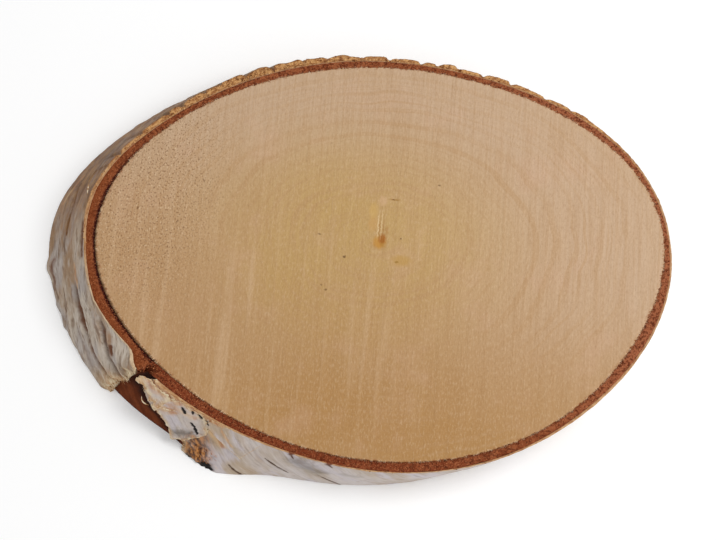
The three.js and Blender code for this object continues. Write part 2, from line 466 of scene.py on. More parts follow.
# The red-brown inner bark
innerBarkShape = {
    "columns": 1240,
    "topRows": 9,
    "outsideRows": 26,
    "insideRows": 5,
    "hairline": 0.04,  # between the wood and the ring
    "crack": [(188, 27, 0.85), (212, 12, 0.3)],  # from shrinking, on the left: angle, half width, how wide
    # the sawn edge leans out or in near the top: angles, by how much, down to which depth
    "topShift": ((148, 158, 167, 175, 182, 190, 198, 205, 212, 215, 217, 225),
                 (0, 0.7, 1.1, 0.95, 0.6, 0.95, 1.5, 0.6, -0.65, -0.6, 0, 0), 6),
    "grain": 0.17,  # how lumpy the sawn face of the ring is
    # a block that bulges out beside the gap: from, to, height, depth
    "chip": (213.8, 219.4, 2.6, 5.0),
    # a radial split beside it: angle, half width, start over the wood, depth
    "split": (220.6, 0.75, 1.4, 6.0),
    # depths and angles of the bark's edge that shades the gap from the right
    "shadedEdge": ((0, 4, 7, 9, 11, 13, 17), (221.5, 223.2, 226.5, 230, 235.6, 239, 242)),
    "seam": 219.0,  # the angle at which the columns start
}


def swelling(angle, depth):
    return humps(trunk["swellings"], angle) * (depth / sliceDepth) ** trunk["swellingPower"]


def chipBulge(angle, depth):
    start, end, high, deep = innerBarkShape["chip"]
    angle = np.asarray(angle, float) % 360
    ramp = np.clip((angle - start) / (end - start), 0, 1)
    return high * ramp * (1 - ease(angle, end + 0.2, end + 0.9)) * (1 - ease(depth, 0, deep))


def innerBarkInside(angle):
    return woodSurface(angle) + innerBarkShape["hairline"] + humps(innerBarkShape["crack"], angle)


def innerBarkOutside(angle, depth):
    thick = trunk["innerBark"] - 0.2 + lobes(trunk["innerBarkLobes"], angle)
    angles, shifts, deep = innerBarkShape["topShift"]
    leaning = np.interp(np.asarray(angle, float) % 360, angles, shifts) * (1 - ease(depth, 0, deep))
    return woodSurface(angle) + thick + leaning + swelling(angle, depth) + chipBulge(angle, depth)


def makeInnerBarkRing():
    shape = innerBarkShape
    a = (shape["seam"] + np.linspace(0, 360, shape["columns"], endpoint=False))[:, None]
    depths = np.linspace(0, sliceDepth, shape["outsideRows"] + 1)
    outside = innerBarkOutside(a, depths[None, :])
    outside = outside + 0.1 * roughness2d(a * 0.5, depths * 0.5, 21)
    outside = outside + 0.05 * roughness2d(a * 1.7, depths * 1.6, 22)
    insideDepths = np.linspace(sliceDepth, 0, shape["insideRows"] + 1)
    inside = innerBarkInside(a) + 0 * insideDepths
    share = np.linspace(0, 1, shape["topRows"] + 1)[None, 1:-1]
    top = between(inside[:, -1:], outside[:, :1], share)
    # each section goes down the outside, up the inside and back over the sawn face
    radius = np.concatenate([outside, inside, top], 1)
    depth = np.concatenate([depths, insideDepths, np.zeros(share.shape[1])])[None, :] + 0 * radius
    across = np.concatenate([np.ones_like(outside), np.zeros_like(inside), share + 0 * top], 1)
    # lumpy sawn face
    isTop = np.concatenate([depths == 0, insideDepths == 0, np.ones(share.shape[1], bool)])
    lumps = roughness2d(a * 2.6, radius * 1.9, 23) + 0.8 * roughness2d(a * 5.5, radius * 4, 24)
    sunk = 0.16 + shape["grain"] * lumps + 0.3 * hump(across, 0.14) * ease(turn(225, a % 360), -75, -20)
    # the radial split beside the chip
    middle, width, reach, deep = shape["split"]
    line = turn(middle, a) + 0.35 * np.sin(radius * 2.1)
    sunk = sunk + deep * (hump(line, width) * ease(radius - woodSurface(a), reach, reach + 0.7))
    depth[:, isTop] += np.maximum(sunk, -0.02)[:, isTop]
    points = place(a + 0 * radius, radius, np.minimum(depth, sliceDepth))
    made = buildMesh("innerBarkRing", points, gridFaces(*radius.shape, True, True))
    keep(made, "across", across.ravel())
    keep(made, "cut", (isTop + 0 * radius).ravel())
    angle = a % 360 + 0 * depth
    shade = 0.95 * hump(turn(222.5, angle), 3.6) * (1 - ease(depth, 7, 12))  # painted shade in the top of the gap
    # painted shade on the gap's surface beside the bark's torn right edge, which stands off it
    fromEdge = angle - np.interp(depth - 3.5, *shape["shadedEdge"])
    shade = np.maximum(shade, 0.9 * hump(fromEdge, 1.9)) * (angle > 205) * (angle < 250)
    # painted shade down the crack between the wood and the ring, strongest on the left
    inCrack = (1 - ease(across, 0, 0.02)) * (0.35 + 0.65 * hump(turn(195, angle), 42))
    keep(made, "deepShade", np.maximum(shade, inCrack).ravel())
    keep(made, "trunkPlace", trunkCoordinates(a, radius, depth).reshape(-1, 3))
    return made


def trunkCoordinates(angle, radius, depth):  # metres round the trunk, along it and out from its middle
    around = np.radians(angle) * barkRadius
    along = alongTrunk(angle, barkRadius, depth)
    return np.stack(np.broadcast_arrays(around, along, radius), -1) * mm


def redInnerBark():
    material, tree, bsdf = newMaterial("redInnerBark")
    where, bark = objectPlace(tree), keptPlace(tree)
    around, across = axes(tree, bark)[0], kept(tree, "across")
    lumps = noise(tree, where, 1100.0, 3.0, 0.6)
    coarse = noise(tree, where, 330.0, 3.0, 0.6)
    fine = noise(tree, where, 2800.0, 2.0, 0.6)
    streaks = noise(tree, stretched(tree, bark, (0.25, 1, 0)), 420.0, 4.0, 0.6)
    rightSide = times(tree, beyond(tree, around, 300, 335), beyond(tree, around, 440, 410))
    leftSide = beyond(tree, around, 500, 530)
    sawn = paint(tree, twoTone(tree, (coarse, 0.3, 0.7), (122, 57, 28), (156, 88, 52)), [
        (times(tree, rightSide, 0.8), (162, 96, 64)),
        (times(tree, beyond(tree, around, 300, 270), 0.65), (116, 46, 20)),
        ((lumps, 0.48, 0.6, 0.0, 0.85), (80, 28, 10)),
        ((fine, 0.56, 0.68, 0.0, 0.7), (194, 128, 84)),
        (times(tree, leftSide, (across, 0.35, 0.8, 0.25, 0.65)), (126, 62, 26)),
        (times(tree, (across, 0.34, 0.16), (leftSide, 0.0, 1.0, 0.1, 1.0)), (50, 8, 2)),  # along the crack
    ])
    smooth = paint(tree, twoTone(tree, (streaks, 0.3, 0.7), (94, 42, 18), (124, 62, 32)), [
        ((coarse, 0.5, 0.75, 0.0, 0.4), (80, 34, 14)),
        (kept(tree, "deepShade"), (28, 8, 4)),
    ])
    colour = mix(tree, kept(tree, "cut"), smooth, sawn)
    roughness = fade(tree, lumps, 0.3, 0.7, 0.7, 0.92)
    wire(tree, bsdf, {"Base Color": colour, "Roughness": roughness, "Specular IOR Level": 0.12})
    bump(tree, bsdf, (lumps, 0.00025), (streaks, 0.00015))
    return material


innerBarkRing = makeInnerBarkRing()
innerBarkRing.data.materials.append(redInnerBark())
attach(innerBarkRing, "root")
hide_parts("inner_bark")
print("inner bark ring made,", len(innerBarkRing.data.polygons), "faces")

# The papery outer bark
paperBarkShape = {
    "thick": 1.45,
    "thinnest": 0.35,
    "clearance": 0.1,  # to the inner bark
    # where it is thicker or thinner: angle, half width, by how much
    "humps": [(118, 22, 1.8), (68, 5, 0.8), (79, 2.2, 0.9), (50, 5, 0.4), (170, 12, 0.4), (340, 55, -0.6),
              (20, 45, -0.6)],
    # worn thin under the sawn face: angles, by how much, down to which depth
    "thinTop": ((146, 160, 180, 190, 198, 205, 212, 216, 220, 228, 240, 250, 262, 268, 280, 300, 320),
                (0, 0.6, 0.85, 0.8, 1.2, 1.6, 1.6, 0.5, 0.5, 0.6, 0.85, 0.7, 1.0, 0.75, 0.9, 0.4, 0), 4.5),
    "knob": {"angle": 186, "width": 2.4, "depth": 15.5, "deep": 2.6, "high": 1.3},
    "crumbs": [(47, 0.3), (83, 0.22)],  # waves round the trunk: how many, how high
    "crumbStretch": (112, 24),  # where they show: angle, half width
    # corky blocks along the top: where they end, how far they bulge, depth and half width of the notches
    "blocks": ((52, 58, 66, 72, 77.4, 81.6, 85, 91.5, 97, 104, 109, 115.6, 121.4, 127.3, 131.2, 137.2, 141,
                149, 156), 0.3, 1.3, 0.55),
    # angles and depths of a groove's path, how deep, half width
    "grooves": [((190, 197.6, 205.6, 214, 223), (6.6, 8.0, 9.6, 11.0, 12.6), 1.5, 0.62),
                ((200, 206.8, 213.4, 219, 223), (0.6, 3.4, 7.4, 8.6, 9.2), 1.5, 0.62),
                ((188, 196, 204, 210), (10.6, 11.4, 12.9, 13.8), 0.4, 0.45),
                ((194, 203, 212, 216), (4.2, 6.3, 9.0, 9.9), 0.4, 0.4),
                ((205, 212, 219, 222), (1.0, 3.8, 5.2, 6.0), 0.35, 0.4),
                ((203, 210, 216, 221), (11.6, 13.0, 14.4, 15.6), 0.35, 0.4),
                ((163, 169, 175, 180), (9.4, 8.3, 8.2, 8.6), 0.4, 0.35)],
    # rolled lobes between the grooves, in the same way as those
    "rolls": [((203, 211, 216.6, 218.5, 221, 223), (8.2, 9.8, 11.0, 11.6, 12.6, 13.4), 1.25, 2.3),
              ((205, 212, 217, 219, 223), (1.6, 3.0, 4.6, 5.4, 6.2), 0.75, 1.9),
              ((196, 204, 212, 218, 223), (13.2, 14.4, 15.6, 16.4, 17.0), 0.5, 1.5)],
    "ridge": (189, 203, 0.4),  # the layered ridges swell between these angles
    "roundEnds": {"reach": 1.1, "share": 0.6},  # the torn ends thin out and round over
    # the gap's two edges: depth, angle
    "leftEdge": [(0, 218.6), (2.4, 219.6), (3.9, 218.2), (6, 219.8), (8.7, 221), (11, 219.9), (13.6, 221.2),
                 (17, 222)],
    "rightEdge": [(0, 222.4), (2.8, 223.4), (4.4, 223.6), (5.4, 224.6), (7.3, 227), (9, 230.4), (10.9, 236),
                  (12.6, 239.2), (17, 242.6)],
    "lift": {"left": 0.5, "right": 1.1, "fade": 10, "deep": 7},  # how far the torn ends stand off
    "columns": (223, 579),  # from angle to angle, with finer steps in fineStretch
    "fineStep": 0.3,
    "coarseStep": 0.42,
    "fineStretch": (140, 300),
    "rows": 60,
    "insideRows": 12,
}

# Lines and patches on the bark: start (angle, depth), end (angle, depth), half width, strength
barkMarks = {
    "lenticels": [
        ((162.5, 10.6), (169.9, 8.3), 0.3, 1.0), ((169.9, 8.3), (178.9, 8.7), 0.26, 1.0),
        ((250, 12.5), (254.6, 16.9), 0.3, 0.9), ((253.4, 5.8), (261.1, 12.4), 0.28, 1.0),
        ((265.8, 10), (272.7, 16.9), 0.28, 1.0), ((159, 6.2), (162.8, 6.9), 0.35, 0.8),
        ((60, 9), (68, 6), 0.3, 0.9), ((20, 5), (31, 2), 0.3, 0.9), ((350, 8), (358, 9), 0.35, 0.9),
        ((312, 7), (319, 12), 0.3, 0.9), ((95, 12), (104, 8), 0.3, 0.9), ((292, 4), (298, 9), 0.25, 0.8),
        ((135, 11), (143, 9), 0.3, 0.8), ((335, 12), (341, 15), 0.3, 0.9),
    ],
    # slits are dark openings in the bark sheets, painted near black as shade
    "slits": [
        ((213.8, 0.4), (218.8, 0.7), 0.3, 0.38), ((256.0, 1.1), (257.1, 2.3), 0.28, 0.42),
        ((263.3, 1.1), (264.5, 2.0), 0.28, 0.42), ((232.1, 1.8), (233.9, 2.8), 0.42, 1.0),
        ((234.2, 1.1), (235.0, 1.9), 0.36, 1.0), ((235.4, 1.0), (237.0, 1.7), 0.4, 1.0),
        ((237.6, 1.5), (239.2, 2.4), 0.3, 0.9), ((236.4, 4.5), (238.2, 5.7), 0.36, 1.0),
        ((238.2, 5.7), (240.1, 7.7), 0.4, 1.0),
    ],
    "brown": [
        ((211.1, 3.9), (212.9, 4.6), 0.9, 1.0), ((197, 8.2), (221, 12.4), 0.55, 0.75),
        ((206, 3.2), (221, 9.2), 0.45, 0.7), ((184, 14), (192, 16.5), 1.2, 0.6),
        ((176.5, 0.8), (186, 1.2), 0.5, 0.9), ((205, 12.5), (216, 15.5), 0.6, 0.4),
        ((255.5, -0.3), (255.9, 0.9), 0.6, 1.0), ((255.9, 0.9), (257.1, 2.3), 0.28, 0.9),
        ((262.9, -0.3), (263.2, 0.9), 0.75, 1.0), ((263.2, 0.9), (264.5, 2.0), 0.3, 0.9),
    ],
    "smudges": [
        ((258.1, 2.9), (264.2, 7.0), 2.4, 0.6), ((237.4, 10.6), (239.1, 8.5), 1.5, 0.8),
        ((268, 5), (271, 6), 1.5, 0.3), ((150, 8), (158, 6), 3.0, 0.35), ((300, 9), (308, 10), 3.0, 0.3),
        ((30, 9), (45, 7), 3.5, 0.35),
    ],
    "stains": [
        ((240.4, 4.2), (242.6, 5.8), 1.1, 1.0), ((242.6, 5.8), (245.6, 7.4), 1.1, 0.9),
        ((229.5, 5.6), (232.4, 4.6), 1.2, 0.8), ((224.8, 3.6), (227.6, 4.8), 0.9, 0.6),
        ((231.5, 0.6), (238.5, 0.6), 0.8, 0.8), ((241.6, 9), (243, 10), 1.8, 0.5),
        ((222.5, 0.8), (231, 1.2), 1.1, 0.8), ((229, 3.2), (236, 2.4), 0.9, 0.55),
        ((221, 1.4), (222.4, 2.2), 1.3, 0.9), ((223, 0.3), (232, 0.4), 1.0, 1.0),
        ((232, 0.4), (241, 0.6), 0.8, 0.95), ((241.5, 1.6), (247, 5.6), 0.35, 0.7),
        ((228.5, 5.6), (232, 3.4), 0.5, 0.8), ((160, 13), (168, 15), 0.7, 0.5),
        ((187, 5), (195, 6.4), 0.5, 0.7),
    ],
    "rough": [
        ((241.4, 10.4), (245.6, 15.0), 2.9, 1.0), ((241.4, 14), (247.0, 17), 2.6, 1.0),
    ],
    # a black knot, and a line of painted shadow along the bark's bottom edge under the rough patch
    "knotAndEdgeShadow": [
        ((247.0, 15.9), (249.0, 16.7), 0.9, 1.0), ((243.4, 16.9), (247.2, 17.0), 0.6, 0.95),
    ],
}


def marked(kind, angle, depth, widen=1.0):  # how strongly a kind of mark shows at a place on the bark
    x, y = np.asarray(angle, float) % 360 * mmPerDegree, np.asarray(depth, float) * mmPerDepth
    total = np.zeros(np.broadcast_shapes(x.shape, y.shape))
    for start, end, width, strength in barkMarks[kind]:
        (ax, ay), (bx, by) = np.array([start, end]) * (mmPerDegree, mmPerDepth)
        long = (bx - ax) ** 2 + (by - ay) ** 2
        t = np.clip(((x - ax) * (bx - ax) + (y - ay) * (by - ay)) / long, 0, 1)
        away = np.hypot(x - ax - t * (bx - ax), y - ay - t * (by - ay))
        away = away + width * 0.35 * roughness2d(x * 1.3, y * 1.3, 51)
        taper = 0.45 + 0.55 * np.sqrt(np.clip(4 * t * (1 - t), 0, 1)) if width < 0.5 else 1.0
        total = np.maximum(total, strength * hump(np.maximum(away, 0) / (widen * taper), width))
    return total


def edgeAngle(edge, depth):
    depths, angles = zip(*paperBarkShape[edge])
    return np.interp(depth, depths, angles)


def fromEnds(angle, depth):  # degrees from the gap's left and right edges
    return [np.abs(turn(edgeAngle(edge, depth), angle)) for edge in ("leftEdge", "rightEdge")]


def edgeCurl(angle, depth):
    lift = paperBarkShape["lift"]
    fromLeft, fromRight = fromEnds(angle, depth)
    curl = lift["right"] * np.exp(-fromRight / lift["fade"]) + lift["left"] * np.exp(-fromLeft / lift["fade"])
    return curl * (0.1 + 0.9 * ease(depth, 0, lift["deep"]))


def barkInside(angle, depth):
    return innerBarkOutside(angle, depth) + paperBarkShape["clearance"] + edgeCurl(angle, depth)


def barkRelief(angle, depth):
    shape = paperBarkShape
    total = np.zeros(np.broadcast_shapes(np.shape(angle), np.shape(depth)))
    drift = 0.3 * roughness2d(angle * 0.3, depth * 0.1, 35)
    for angles, depths, deep, width in shape["grooves"]:
        away = (depth + drift - np.interp(angle, angles, depths)) * mmPerDepth
        run = ease(angle, angles[0], angles[0] + 7) * (1 - ease(angle, angles[-1] - 3, angles[-1] + 2))
        total -= deep * run * (hump(away, width) + 0.3 * hump(away + 1.1, width * 1.7))  # steeper on one side
    for angles, depths, high, width in shape["rolls"]:
        away = (depth + drift - np.interp(angle, angles, depths)) * mmPerDepth
        total += high * ease(angle, angles[0], angles[0] + 10) * hump(away, width) * (angle < 230)
    start, full, high = shape["ridge"]
    total += high * ease(angle, start, full) * (1 - ease(angle, 224, 232))
    knob = shape["knob"]
    swollen = knob["high"] * hump(angle - knob["angle"], knob["width"])
    total += swollen * hump(depth - knob["depth"], knob["deep"])
    total -= 0.3 * marked("lenticels", angle, depth) - 0.22 * marked("lenticels", angle, depth, 3.0)
    total -= 0.5 * marked("knotAndEdgeShadow", angle, depth) + 0.35 * marked("brown", angle, depth)
    return total - wornTop(angle, depth)


def wornTop(angle, depth):
    angles, thinner, deep = paperBarkShape["thinTop"]
    return np.interp(angle, angles, thinner) * (1 - ease(depth, 0, deep))


def crumbliness(angle, depth):
    shape = paperBarkShape
    middle, width = shape["crumbStretch"]
    uneven = sum(high * sine(count * angle) for count, high in shape["crumbs"])
    uneven = hump(turn(middle, angle), width) * uneven
    ends, bulge, notch, narrow = shape["blocks"]
    ends = np.array(ends, float)
    nearest = np.argmin(np.abs(np.asarray(angle, float)[..., None] - ends), -1)
    away = np.asarray(angle, float) - ends[nearest]
    inside = (angle > ends[0] - 4) * (angle < ends[-1] + 4)
    deep = notch * (0.45 + 0.55 * np.sin(nearest * 2.4) ** 2)  # the notches aren't equally deep
    nearTop = inside * (1 - ease(depth, 2, 8) * (0.5 + 0.5 * ease(angle, 126, 140)))
    return uneven + nearTop * (bulge * (1 - np.exp(-np.abs(away) / 1.1)) - deep * hump(away, narrow))


def wrinkles(angle, depth):
    along, around = alongTrunk(angle, 85, depth), np.radians(angle) * barkRadius

    def layers(*rows):  # height, scales round and along the trunk, seed
        return sum(high * roughness2d(around * a, along * b, seed) for high, a, b, seed in rows)

    crinkled = hump(turn(196, angle), 14) * ease(depth, 0.5, 3)
    total = layers((0.08, 0.06, 0.8, 31), (0.05, 0.14, 2.1, 32))
    total += crinkled * layers((0.28, 0.16, 0.95, 33), (0.22, 0.5, 1.7, 34))
    total += marked("rough", angle, depth) * (layers((0.45, 0.9, 1.1, 36), (0.3, 2, 1.2, 37)) - 0.45)
    return total


def barkOutside(angle, depth):
    shape = paperBarkShape
    around = angle % 360
    thick = shape["thick"] + humps(shape["humps"], around)
    thick = thick + crumbliness(around, depth) + barkRelief(around, depth)
    ends = shape["roundEnds"]
    fromEnd = np.minimum(*fromEnds(angle, depth))
    thick = (thick - 0.1) * (1 - ends["share"] * np.exp(-((fromEnd / ends["reach"]) ** 2)))
    return barkInside(angle, depth) + np.maximum(shape["thinnest"], thick) + wrinkles(around, depth)


def barkColumns():  # angles from the gap's right edge round to its left edge
    shape = paperBarkShape
    angle, end = shape["columns"]
    low, high = shape["fineStretch"]
    angles = []
    while angle < end:
        angles.append(angle)
        angle += shape["fineStep"] if low < angle % 360 < high else shape["coarseStep"]
    return np.array(angles)


def makePaperBark():
    shape = paperBarkShape
    columns = barkColumns()
    share = ((columns - columns[0]) / (columns[-1] - columns[0]))[:, None]
    depths = np.linspace(0, sliceDepth, shape["rows"] + 1)
    insideDepths = np.linspace(sliceDepth, 0, shape["insideRows"] + 1)

    def anglesAt(depth):
        right = edgeAngle("rightEdge", depth) + 0.5 * roughness2d(depth * 1.3, 0, 41)
        right = right + 0.25 * roughness2d(depth * 3.4, 0, 42)
        left = edgeAngle("leftEdge", depth) + 0.4 * roughness2d(depth * 1.5, 5, 43)
        left = left + 0.25 * roughness2d(depth * 4, 5, 44)
        return between(right, left + 360, share)

    outAngle, inAngle = anglesAt(depths[None, :]), anglesAt(insideDepths[None, :])
    outside = barkOutside(outAngle, depths[None, :])
    inside = barkInside(inAngle, insideDepths[None, :])
    steps = np.linspace(0, 1, 6)[None, 1:-1]
    top = between(inside[:, -1:], outside[:, :1], steps)
    low = (inside[:, :1] + outside[:, -1:]) / 2
    # down the outside, under the bark, up the inside and back over the sawn edge
    angle = np.concatenate([outAngle, outAngle[:, -1:], inAngle, outAngle[:, :1] + 0 * steps], 1)
    radius = np.concatenate([outside, low, inside, top], 1)
    sawn = np.zeros(steps.shape[1])
    depth = np.concatenate([depths, [sliceDepth], insideDepths, sawn])[None, :] + 0 * radius
    isTop = np.concatenate([depths == 0, [False], insideDepths == 0, sawn == 0])
    crumbly = 0.12 + 0.35 * hump(turn(110, angle % 360), 45)
    lumps = roughness2d(angle * 1.8, radius * 1.6, 45) + 0.6 * roughness2d(angle * 5, radius * 3, 46)
    depth[:, isTop] += np.abs(crumbly * lumps)[:, isTop]
    points = place(angle, radius, np.minimum(depth, sliceDepth))
    rows, count = len(depths), radius.shape[1]
    faces = gridFaces(*radius.shape, False, True)
    for base, turned in ((0, 1), ((len(columns) - 1) * count, -1)):  # the two torn ends
        outer, inner = range(base, base + rows), range(base + count - 1, base + rows - 1, -1)
        faces += [face[::-turned] for face in zipper(outer, inner)]
    made = buildMesh("paperBark", points, faces)
    under = np.zeros_like(radius)
    under[:, rows:rows + 1 + len(insideDepths)] = 1
    span = 356 + 0 * radius
    fromRight, fromLeft = share * span, (1 - share) * span
    creamReach = 0.9 + 2.9 * ease(depth, 8, 10) * (1 - ease(depth, 15, 17))
    torn = np.maximum(np.exp(-fromRight / 0.8), np.exp(-((fromLeft / creamReach) ** 2)))
    # painted shade: dark lines along the sawn edge's inner and outer borders and in the notches between the
    # corky blocks
    edgeShade = hump((radius - barkInside(angle, 0)) * isTop, 0.35)
    edgeShade += 0.7 * ease(radius - barkOutside(angle, 0), -0.35, -0.05)
    edgeShade = np.maximum(edgeShade, -1.2 * np.minimum(0, crumbliness(angle % 360, depth)) - 0.2)
    edgeShade = np.clip(edgeShade, 0, 1) * isTop * hump(turn(108, angle % 360), 62)
    layers = {"cut": isTop + 0 * radius, "under": under, "torn": torn, "shaded": groovesAt(angle, depth),
              "edgeShade": edgeShade}
    keepBark(made, angle, radius, depth, layers)
    return made


def groovesAt(angle, depth):  # painted shade in the grooves, darker where they are deeper
    around = angle % 360
    return np.clip(-1.4 * (barkRelief(around, depth) + wornTop(around, depth)) - 0.15, 0, 1)


def keepBark(made, angle, radius, depth, layers):
    for name, values in layers.items():
        keep(made, name, values.ravel())
    for kind in barkMarks:
        keep(made, kind, marked(kind, angle, depth).ravel())
    keep(made, "trunkPlace", trunkCoordinates(angle, radius, depth).reshape(-1, 3))


def whiteBark():
    material, tree, bsdf = newMaterial("whiteBark")
    where = keptPlace(tree)
    around = axes(tree, where)[0]

    def grained(scale, stretch, detail=4.0, rough=0.6, away=(0, 0, 0)):  # noise drawn out round the trunk
        return noise(tree, stretched(tree, where, stretch, away), scale, detail, rough)

    streaks = grained(420.0, (0.16, 1, 0), rough=0.62)
    cloud = grained(60.0, (0.5, 1, 0))
    fine = grained(1500.0, (0.12, 1, 0), 3.0)
    mottle = grained(260.0, (0.8, 1, 1))
    lilac = grained(130.0, (0.4, 1, 0), 3.0, 0.55, (0.3, 0.1, 0))
    warm = grained(190.0, (0.3, 1, 0), 4.0, 0.65, (0.7, 0.4, 0))
    fibres = grained(900.0, (0.3, 1, 0.5), 4.0, 0.7)
    leaves = grained(1100.0, (0.2, 0.6, 1), 4.0, 0.7)
    # whiter and lilac on the lower side, greyer and browner towards the upper left
    brownSide = beyond(tree, around, 440, 500)
    olderSide = times(tree, beyond(tree, around, 552, 522), beyond(tree, around, 400, 440))
    lively = calc(tree, "MAXIMUM", brownSide, 0.28)
    pale = twoTone(tree, (cloud, 0.35, 0.65), (184, 164, 142), (210, 200, 196))
    grey = twoTone(tree, (cloud, 0.4, 0.6), (162, 132, 102), (198, 184, 168))
    colour = paint(tree, mix(tree, brownSide, pale, grey), [
        (times(tree, olderSide, 0.92), twoTone(tree, (mottle, 0.38, 0.62), (116, 70, 26), (150, 106, 54))),
        (times(tree, (lilac, 0.48, 0.6, 0.0, 0.85), (olderSide, 0.0, 1.0, 1.0, 0.1)),
         twoTone(tree, brownSide, (206, 197, 200), (176, 165, 158))),
        (times(tree, lively, (warm, 0.54, 0.7, 0.0, 0.75)), (158, 114, 74)),
        (times(tree, lively, (streaks, 0.54, 0.68, 0.0, 0.8)), (112, 84, 60)),
        (times(tree, (fine, 0.52, 0.72, 0.0, 0.45), (olderSide, 0.0, 1.0, 1.0, 0.35)), (220, 210, 198)),
        (times(tree, lively, (fine, 0.46, 0.32, 0.0, 0.7)), (124, 100, 80)),
        ((mottle, 0.58, 0.75, 0.0, 0.35), (150, 118, 84)),
        (times(tree, kept(tree, "shaded"), 0.85), (98, 70, 52)),
        (kept(tree, "smudges"), (104, 96, 88)),
        (kept(tree, "stains"), twoTone(tree, (streaks, 0.4, 0.6), (186, 122, 72), (222, 186, 142))),
        ((kept(tree, "brown"), 0.04, 0.9), (108, 62, 32)),
        (kept(tree, "rough"), twoTone(tree, (fibres, 0.4, 0.6), (76, 38, 16), (206, 138, 74))),
        # black knot, and painted shadow along the bottom edge
        ((kept(tree, "knotAndEdgeShadow"), 0.1, 0.7), (16, 11, 8)),
        ((kept(tree, "lenticels"), 0.1, 0.8), twoTone(tree, brownSide, (84, 56, 34), (122, 80, 38))),
        # painted shade in the slits
        ((kept(tree, "slits"), 0.15, 0.6), (20, 11, 7)),
    ])
    # sawn edge: tan on the left, golden brown and crumbly at the top, pale by the gap
    goldenSide = times(tree, beyond(tree, around, 530, 505), beyond(tree, around, 385, 400))
    golden = twoTone(tree, (leaves, 0.38, 0.6), (150, 94, 48), (208, 158, 100))
    cream = twoTone(tree, (leaves, 0.35, 0.65), (188, 160, 128), (216, 190, 156))
    edge = paint(tree, twoTone(tree, (leaves, 0.35, 0.65), (160, 108, 64), (206, 166, 120)), [
        (goldenSide, golden),
        (beyond(tree, around, 544, 556), cream),
        # painted shade along the borders of the sawn edge and in its notches
        (times(tree, kept(tree, "edgeShade"), 0.85), (88, 42, 18)),
        ((kept(tree, "brown"), 0.05, 0.45), (120, 58, 24)),
    ])
    colour = paint(tree, colour, [
        (kept(tree, "cut"), edge),
        (kept(tree, "under"), twoTone(tree, (streaks, 0.35, 0.65), (176, 122, 82), (204, 158, 116))),
        (kept(tree, "torn"), twoTone(tree, (leaves, 0.38, 0.62), (184, 138, 92), (228, 210, 176))),
    ])
    roughness = fade(tree, streaks, 0.3, 0.7, 0.5, 0.75)
    wire(tree, bsdf, {"Base Color": colour, "Roughness": roughness, "Specular IOR Level": 0.35})
    bump(tree, bsdf, (streaks, 0.0003), (fine, 0.0001), (leaves, 0.00015))
    return material


paperBark = makePaperBark()
barkFinish = whiteBark()
paperBark.data.materials.append(barkFinish)
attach(paperBark, "root")
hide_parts("outer_bark")
print("paper bark made,", len(paperBark.data.polygons), "faces")

# Torn sheets of bark: rows along a sheet, each a row of points across it (angle, depth, lift off the bark)
tornSheets = {
    "curledTongue": {
        "points": [[(220.6, 2.0, 1.3), (220.1, 1.2, 1.7), (220.1, 0.7, 1.5), (220.4, 0.4, 1.2)],
                   [(222.5, 2.6, 1.1), (221.9, 1.5, 1.3), (221.8, 0.8, 1.0), (222.2, 0.4, 0.6)],
                   [(224.6, 3.5, 1.0), (224.2, 2.0, 1.2), (224.2, 1.0, 0.8), (224.8, 0.3, 0.3)],
                   [(227.0, 5.0, 1.0), (226.6, 2.8, 1.1), (226.6, 1.3, 0.7), (227.1, 0.3, 0.1)],
                   [(230.1, 7.2, 0.8), (229.8, 4.5, 0.9), (229.8, 2.5, 0.5), (229.8, 0.5, -0.1)]],
        "thick": 0.45, "ragged": (2.0, 0.5, 1.7, 1.8), "seed": 61, "tornWidth": 1.9, "curl": (0.9, 2.0),
    },
    "tornFlap": {
        "points": [[(228.1, 5.6, 0.8), (228.6, 3.8, 0.8), (229.3, 1.7, 0.5), (230.6, 0.4, 0.0)],
                   [(230.4, 7.2, 1.2), (231.4, 4.7, 1.0), (232.6, 2.5, 0.7), (234.2, 0.5, 0.1)],
                   [(233.5, 9.2, 1.3), (234.5, 6.8, 1.1), (235.8, 4.2, 0.8), (237.6, 0.9, 0.1)],
                   [(236.1, 11.6, 1.3), (237.2, 9.3, 1.1), (238.5, 6.7, 0.8), (240.0, 3.2, 0.2)],
                   [(238.4, 14.3, 1.3), (240.0, 12.4, 1.3), (240.9, 9.4, 1.0), (241.5, 5.8, 0.3)]],
        "thick": 0.55, "ragged": (0.3, 0.9, 0.7, 0.9), "seed": 62, "tornWidth": 0.9, "curl": (0.5, 1.5),
    },
    "foldedSheet": {
        "points": [[(238.6, 2.9, 0.5), (238.4, 2.0, 0.5), (238.4, 1.2, 0.3), (238.4, 0.5, 0.1)],
                   [(241.2, 3.9, 0.9), (241.2, 2.5, 0.6), (241.2, 1.2, 0.3), (241.3, 0.3, 0.0)],
                   [(244.3, 5.5, 0.9), (244.1, 3.4, 0.6), (244.1, 1.6, 0.3), (244.2, 0.3, 0.0)],
                   [(247.3, 7.2, 0.6), (247.4, 4.8, 0.45), (247.2, 2.6, 0.2), (247.1, 0.4, 0.0)],
                   [(250.4, 9.4, 0.05), (250.2, 6.3, 0.05), (250.1, 3.3, 0.0), (249.9, 0.5, -0.15)]],
        "thick": 0.4, "ragged": (0.3, 0.1, 0.15, 0.1), "seed": 63, "tornWidth": 0.3, "curl": (0, 1),
    },
}


def gridWeights(t, count):  # a smooth curve through evenly spaced points
    t = np.clip(t, 0, 1) * (count - 1)
    k = np.minimum(t.astype(int), count - 2)
    f = t - k
    weights = [-f**3 + 2 * f**2 - f, 3 * f**3 - 5 * f**2 + 2, -3 * f**3 + 4 * f**2 + f, f**3 - f**2]
    return np.stack(weights, -1) / 2, np.clip(k[..., None] + np.arange(-1, 3), 0, count - 1)


